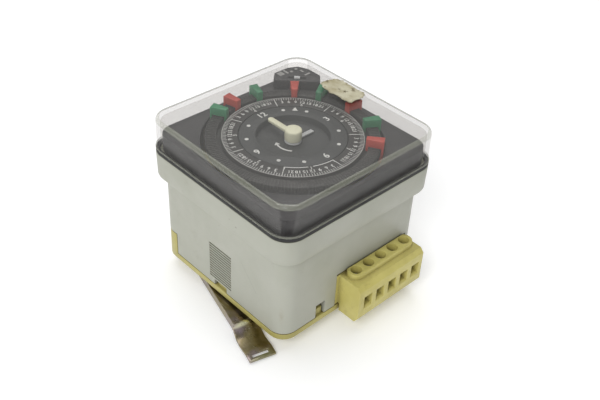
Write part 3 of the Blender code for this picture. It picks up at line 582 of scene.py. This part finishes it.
def make_housing():
    """Moulded case: one swept section with a flange, then the louvres, windows and cut-outs."""
    low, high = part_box("housing_shell")
    flange, body, wall = high.x, BODY_HALF, BODY_WALL
    corner, inner_corner = BODY_CORNER, BODY_CORNER - BODY_WALL
    soft = 0.2 * MM
    foot = low.z - 0.2 * MM             # the shell sits down on the base
    section = [
        (*FLANGE_BORE, high.z), (flange - soft, FLANGE_CORNER - soft, high.z),
        (flange - 0.06 * MM, 7.44 * MM, high.z - 0.06 * MM), (flange, FLANGE_CORNER, high.z - soft),
        (flange - 0.15 * MM, FLANGE_CORNER, 1.1 * MM), (flange - 0.4 * MM, 7.4 * MM, 0.35 * MM),
        (flange - 1.0 * MM, 7.0 * MM, 0.0), (body + 0.5 * MM, 6.3 * MM, 0.0),
        (body + 0.12 * MM, 6.1 * MM, -0.15 * MM), (body + 0.05 * MM, corner, -0.6 * MM),
        (body, corner, foot + 0.3 * MM), (body - 0.3 * MM, corner - 0.3 * MM, foot),
        (body - wall, inner_corner, foot), (body - wall, inner_corner, 0.4 * MM), (*FLANGE_BORE, 0.4 * MM),
    ]
    housing = add_piece("housing", mesh_from(ring_loft(section), "housing"), "case",
                        ["housing_grey"], ("housing_shell",))
    outside, inside, under = -(body + 1 * MM), -(body - wall - 1 * MM), low.z - 1 * MM
    bm = bmesh.new()
    slots, pitch, slot_height, lowest_slot = 14, 1.14 * MM, 0.68 * MM, -30.6 * MM
    for i in range(slots):
        bottom = lowest_slot + i * pitch
        box_into(bm, (outside, -6.2 * MM, bottom), (inside, 5.7 * MM, bottom + slot_height))
    cut(housing, bm)
    side_latch = ((outside, -3.7 * MM, under), (inside, 3.1 * MM, -31.2 * MM))
    front_latch = ((-17.5 * MM, outside, under), (-13.1 * MM, inside, -27.8 * MM))
    terminal_gap = ((-8.1 * MM, outside, under), (27.6 * MM, inside, -18.9 * MM))
    corner_gap = ((outside, 24.9 * MM, under), (-25.4 * MM, 35 * MM, -24.2 * MM))
    bm = bmesh.new()
    for start, end in (side_latch, front_latch, terminal_gap, corner_gap):
        box_into(bm, start, end)
    cut(housing, bm)


def make_gasket():
    """Soft seal that fills the gap between the flange and the cover's foot."""
    low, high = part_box("cover_gasket")
    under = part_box("housing_shell")[1].z + 0.02 * MM
    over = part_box("clear_cover")[0].z + 0.20 * MM
    middle, half = (low.z + high.z) / 2, high.x
    inner, shoulder = (34.6 * MM, 6.1 * MM), (half - 0.1 * MM, 7.35 * MM)
    section = [(*inner, over), (*shoulder, over), (half + 0.08 * MM, FLANGE_CORNER, middle),
               (*shoulder, under), (*inner, under)]
    add_piece("gasket", mesh_from(ring_loft(section), "gasket"), "case", ["gasket_black"],
              ("cover_gasket",))


def make_cover():
    """Clear cap: nearly upright walls, a rounded rim band round the top and a lip at the foot, both bright
    with painted highlight.
    """
    low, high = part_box("clear_cover")
    foot, top, wall = high.x, high.z, COVER_WALL
    rim, upper, corner = 1.35 * MM, COVER_TOP_HALF, FLANGE_CORNER
    arc = [math.radians(15 * i) for i in range(1, 7)]
    seat = low.z + 0.24 * MM            # the soft seal takes the cover's lowest quarter millimetre
    outer = [(foot - 0.15 * MM, corner, seat), (foot, corner, seat + 0.15 * MM),
             (foot, corner, low.z + 0.72 * MM), (foot - 0.3 * MM, corner, low.z + 0.88 * MM),
             (upper, corner, top - rim)]
    outer += [(upper - rim + rim * math.cos(a), corner - rim + rim * math.cos(a),
               top - rim + rim * math.sin(a)) for a in arc]
    inner_half, inner_rim, inner_corner = upper - wall, 0.8 * MM, corner - wall
    bend, ceiling = inner_corner - inner_rim, top - wall
    inner = [(inner_half - inner_rim + inner_rim * math.cos(a), bend + inner_rim * math.cos(a),
              ceiling - inner_rim + inner_rim * math.sin(a)) for a in reversed(arc)]
    inner += [(inner_half, inner_corner, ceiling - inner_rim), (foot - 0.3 * MM - wall, inner_corner, seat)]
    last = len(outer) - 1
    # the rim and foot lip bands take the painted highlight material
    highlight_bands = {number: 1 for number in (*range(3), *range(4, last))}
    bm = ring_loft(outer + inner, breaks=(last,), caps=(last, last + 1), shades=highlight_bands)
    add_piece("cover", mesh_from(bm, "cover", 60), "cover", ["clear_plastic", "cover_rim_highlight"],
              ("clear_cover",))


def make_label():
    """Torn blank label left on the cover, slightly lifted and curled."""
    outline = ((25.2, 12.8), (28.4, 13.0), (32.0, 11.5), (33.0, 9.0), (32.6, 3.2), (32.9, -1.8), (31.2, -3.6),
               (29.4, -4.2), (26.6, -3.8), (24.3, -4.1), (23.2, -0.6), (24.0, 2.4), (23.3, 6.0), (23.8, 9.4))
    rng = random.Random(5)
    torn, curl, thickness = 0.28, 0.25, 0.12    # mm: raggedness, lift of the edge, paper with its glue
    pieces = 5                          # points between two corners of the outline
    edge = []
    for (x0, y0), (x1, y1) in zip(outline, outline[1:] + outline[:1]):
        for i in range(pieces):
            t = i / pieces
            x = x0 + (x1 - x0) * t + rng.uniform(-torn, torn)
            y = y0 + (y1 - y0) * t + rng.uniform(-torn, torn)
            edge.append((x, y))
    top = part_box("clear_cover")[1].z
    bm = bmesh.new()
    rings = []
    centre = (28.3, 4.2)
    for share in (1.0, 0.86, 0.6, 0.3):
        ring = []
        for x, y in edge:
            px, py = centre[0] + (x - centre[0]) * share, centre[1] + (y - centre[1]) * share
            lift = 0.22 * (1 - share) ** 0.5 * (0.5 + 0.5 * math.sin(px * 1.7 + py * 1.1)) + 0.06
            if share == 1.0:
                lift += rng.uniform(0.0, curl)
            ring.append(bm.verts.new((px * MM, py * MM, top + lift * MM)))
        rings.append(ring)
    for first, second in zip(rings, rings[1:]):
        for i in range(len(first)):
            j = (i + 1) % len(first)
            bm.faces.new((first[i], first[j], second[j], second[i]))
    bm.faces.new(rings[-1])
    bmesh.ops.recalc_face_normals(bm, faces=bm.faces)
    extruded = bmesh.ops.extrude_face_region(bm, geom=list(bm.faces))
    for vert in [g for g in extruded["geom"] if isinstance(g, bmesh.types.BMVert)]:
        vert.co.z += thickness * MM
    add_piece("label_remnant", mesh_from(bm, "label_remnant", 50), "cover", ["label_paper"])


# ---------------------------------------------------------------- printing

def text_into(bm, words, size, matrix, bold=0.0):
    """Add flat raised lettering, centred on its own middle and placed by a matrix."""
    curve = bpy.data.curves.new("lettering", "FONT")
    curve.body = words
    curve.size = size
    curve.align_x = "CENTER"
    curve.align_y = "CENTER"
    curve.extrude = 0.012 * MM
    curve.offset = bold
    curve.resolution_u = 4
    holder = bpy.data.objects.new("lettering", curve)
    bpy.context.scene.collection.objects.link(holder)
    graph = bpy.context.evaluated_depsgraph_get()
    graph.update()
    mesh = bpy.data.meshes.new_from_object(holder.evaluated_get(graph))
    mesh.transform(matrix)
    bm.from_mesh(mesh)
    bpy.data.objects.remove(holder, do_unlink=True)
    bpy.data.meshes.remove(mesh)


def band_into(bm, radius, width, start, end, low, high, steps):
    """Add a flat printed arc, in clock degrees, or a whole ring when it comes back to its start."""
    whole = abs(end - start) >= 359.9
    count = steps if whole else steps + 1
    rows = []
    for i in range(count):
        angle = start + (end - start) * i / steps
        rows.append([bm.verts.new(clock(angle, radius + side * width / 2, z))
                     for side, z in ((1, low), (1, high), (-1, high), (-1, low))])
    pairs = list(zip(rows, rows[1:])) + ([(rows[-1], rows[0])] if whole else [])
    for first, second in pairs:
        for i in range(4):
            j = (i + 1) % 4
            bm.faces.new((first[i], first[j], second[j], second[i]))
    if not whole:
        bm.faces.new(rows[0])
        bm.faces.new(reversed(rows[-1]))


def mark_into(bm, degrees, inner, outer, width, low, high):
    """Add a radial printed line."""
    box_into(bm, (-width / 2, inner, low), (width / 2, outer, high), clock_turn(degrees))


def disc_into(bm, radius, centre, low, high, sides=20):
    """Add a round printed dot."""
    matrix = Matrix.Translation((centre[0], centre[1], (low + high) / 2))
    bmesh.ops.create_cone(bm, cap_ends=True, segments=sides, radius1=radius, radius2=radius,
                          depth=high - low, matrix=matrix)


def triangle_into(bm, corners, low, high):
    """Add a printed triangle."""
    lower = [bm.verts.new((p.x, p.y, low)) for p in corners]
    upper = [bm.verts.new((p.x, p.y, high)) for p in corners]
    bm.faces.new(upper)
    bm.faces.new(reversed(lower))
    for i in range(3):
        j = (i + 1) % 3
        bm.faces.new((lower[i], lower[j], upper[j], upper[i]))


INK = 0.03 * MM                      # how proud the printing stands
DAYS = 7
DAY_ANGLE = 360 / DAYS
FIRST_DAY = 180.0                    # clock angle where day one begins


def make_disc_printing():
    """Day and hour scale of the program disc."""
    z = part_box("program_disc")[1].z
    low, high = z - 0.01 * MM, z + INK
    scale = bmesh.new()
    marks = bmesh.new()
    for day in range(DAYS):
        start = FIRST_DAY + day * DAY_ANGLE
        mark_into(scale, start, 19.4 * MM, 24.5 * MM, 0.26 * MM, low, high)
        for hour in range(24):
            angle = start + hour * DAY_ANGLE / 24
            if hour:
                inner = 23.2 * MM if hour % 3 else 22.9 * MM
                mark_into(marks, angle, inner, 24.45 * MM, 0.17 * MM, low, high)
            if hour % 3 == 0 and hour:
                turn = clock_turn(angle) @ Matrix.Translation((0, 21.75 * MM, z))
                text_into(scale, str(hour), 2.1 * MM, turn, 0.03 * MM)
        turn = clock_turn(start + DAY_ANGLE / 2) @ Matrix.Translation((0, 19.98 * MM, z))
        text_into(scale, str(day + 1), 2.0 * MM, turn, 0.03 * MM)
    band_into(scale, 24.6 * MM, 0.12 * MM, 0, 360, low, high, 144)
    add_piece("disc_scale", mesh_from(scale, "disc_scale"), "disc", ["print_white"])
    add_piece("disc_hour_marks", mesh_from(marks, "disc_hour_marks"), "disc", ["print_white"])
    bracket = bmesh.new()
    for start, end in ((180.4, 203.2), (208.2, 231.0)):
        band_into(bracket, 19.45 * MM, 0.36 * MM, start, end, low, high + 0.01 * MM, 16)
    for end in (180.4, 231.0):
        mark_into(bracket, end, 19.3 * MM, 20.6 * MM, 0.34 * MM, low, high + 0.01 * MM)
    add_piece("day_bracket", mesh_from(bracket, "day_bracket"), "disc", ["print_bright"])


def make_disc_ribs():
    """Fine ribs over the disc's outer band, one for each hour of the week."""
    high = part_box("program_disc")[1]
    top, rim = high.z, 30.4 * MM
    ribs = bmesh.new()
    count = DAYS * 24
    half, rise, taper = 0.30 * MM, 0.2 * MM, 0.55
    section = [(26.65 * MM, top - 0.05 * MM), (26.75 * MM, top + rise), (rim - 0.1 * MM, top + rise),
               (rim + 0.16 * MM, top - 0.25 * MM), (rim + 0.16 * MM, top - 2.7 * MM),
               (rim - 0.1 * MM, top - 2.85 * MM)]
    widths = [half * (taper if z > top or r > rim else 1) for r, z in section]
    for i in range(count):
        turn = clock_turn(360 * (i + 0.5) / count)
        left, right = ([ribs.verts.new(turn @ Vector((side * width, r, z)))
                        for width, (r, z) in zip(widths, section)]
                       for side in (-1, 1))
        for j in range(len(section)):
            k = (j + 1) % len(section)
            ribs.faces.new((left[j], left[k], right[k], right[j]))
        ribs.faces.new(left)
        ribs.faces.new(reversed(right))
    add_piece("disc_ribs", mesh_from(ribs, "disc_ribs", 20), "disc", ["disc_black"])


def make_face_printing():
    """Twelve-hour numbers, dots, time index and the arrow on the recessed floor."""
    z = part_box("dial_face")[1].z
    low, high = z - 0.01 * MM, z + INK
    face = bmesh.new()
    numbers_at = 16.3 * MM
    for hour in range(1, 13):
        angle = hour * 30
        if hour % 3:
            disc_into(face, 0.68 * MM, clock(angle, numbers_at), low, high)
        else:
            place = clock(angle, numbers_at, z)
            text_into(face, str(hour), 3.7 * MM, Matrix.Translation(place), 0.07 * MM)
    time_index = (clock(45, 18.2 * MM), clock(41.2, 15.9 * MM), clock(48.8, 15.9 * MM))
    triangle_into(face, time_index, low, high)
    add_piece("face_numbers", mesh_from(face, "face_numbers"), "case", ["print_white"])

    floor = 15.8 * MM
    low, high = floor - 0.01 * MM, floor + INK
    arrow = bmesh.new()
    band_into(arrow, 5.9 * MM, 0.62 * MM, 226, 291, low, high, 20)
    head = (clock(303, 5.9 * MM), clock(289, 7.0 * MM), clock(289, 4.8 * MM))
    triangle_into(arrow, head, low, high)
    add_piece("turn_arrow", mesh_from(arrow, "turn_arrow"), "case", ["print_bright"])


def make_plate_printing():
    """Small plain marks near the plate's front corner and the symbols on the override block."""
    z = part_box("front_plate")[1].z
    low, high = z - 0.01 * MM, z + INK
    marks = bmesh.new()
    across = Matrix.Translation((-26.6 * MM, -26.4 * MM, 0)) @ Matrix.Rotation(math.radians(-45), 4, "Z")
    lengths, pitch, half_height = (0.9, 0.35, 0.9, 0.6, 0.9, 0.35), 1.25 * MM, 0.25 * MM
    for i, length in enumerate(lengths):
        x = (i - 2.5) * pitch
        half = length * MM / 2
        box_into(marks, (x - half, -half_height, low), (x + half, half_height, high), across)
    add_piece("plate_marks", mesh_from(marks, "plate_marks"), "case", ["print_faint"])

    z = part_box("override_block")[1].z
    low, high = z - 0.01 * MM, z + INK
    symbols = bmesh.new()
    # Bars: centre, width and height; dots: centre; all in mm
    bars = ((22.4, 31.2, 2.4, 2.4), (24.9, 31.2, 0.8, 3.0), (30.2, 24.9, 2.6, 0.8), (30.2, 27.9, 0.8, 1.8))
    dots = ((26.8, 30.0), (29.4, 30.4))
    for x, y, width, height in bars:
        start = ((x - width / 2) * MM, (y - height / 2) * MM, low)
        end = ((x + width / 2) * MM, (y + height / 2) * MM, high)
        box_into(symbols, start, end)
    for x, y in dots:
        disc_into(symbols, 0.6 * MM, (x * MM, y * MM), low, high)
    mesh = mesh_from(symbols, "override_symbols")
    add_piece("override_symbols", mesh, "case", ["print_faint"])


# ---------------------------------------------------------------- strap

def make_strap():
    """Pressed strap, a smooth formed strip with folded side flanges and a hooked, slotted end, shown as a
    copy of the CAD strap with softened edges.
    """
    refined("mounting_strap", "zinc_yellow", 0.15 * MM)


# ---------------------------------------------------------------- everything

# CAD nodes shown through a copy with softened edges: slot, edge radius in mm, and another look if any
SOFTENED = {
    "base": ("yellow_plastic", 0.25, "base_yellow"),
    "front_plate": ("plate_grey", 0.2, None),
    "dial_face": ("plate_grey", 0.25, "face_grey"),
    "program_disc": ("disc_black", 0.12, None),
    "override_block": ("plate_grey", 0.3, None),
    "override_slider": ("hand_white", 0.12, None),
    "hour_hand": ("hand_white", 0.08, None),
    "minute_hand": ("ivory", 0.2, None),
    "terminal_block": ("yellow_plastic", 0.2, None),
}


def soften_nodes():
    """Show the other visible CAD nodes through copies with softened edges."""
    for node, (slot, radius, look) in SOFTENED.items():
        refined(node, slot, radius * MM, material=look)
    for node in sorted(NODES):
        if node.startswith("rider_"):
            refined(node, "rider_" + node.split("_")[-1], 0.16 * MM)
        elif node.startswith("terminal_screw"):
            slim_shank(refined(node, "steel", 0.08 * MM), node)


def slim_shank(screw, node):
    """Narrow the screw's shank to run clear of its cage."""
    low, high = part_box(node)
    axis = (low + high) / 2
    head_height, narrowing = 1.6 * MM, 0.87
    under_head = high.z - head_height
    for vert in screw.data.vertices:
        if vert.co.z < under_head:
            vert.co.x = axis.x + (vert.co.x - axis.x) * narrowing
            vert.co.y = axis.y + (vert.co.y - axis.y) * narrowing


def dress_other_nodes():
    """Give every CAD node that stays in view its material slot's look."""
    slots = {part["node"]: part["material_slot"] for part in frame["record"]["subparts"]}
    for node, piece in NODES.items():
        if piece.hide_render:
            continue
        piece.data.materials.clear()
        piece.data.materials.append(MATERIALS[slots[node]])


make_housing()
make_gasket()
make_cover()
make_label()
make_disc_printing()
make_disc_ribs()
make_face_printing()
make_plate_printing()
make_strap()
soften_nodes()
dress_other_nodes()
add_camera()
add_studio()
add_floor()
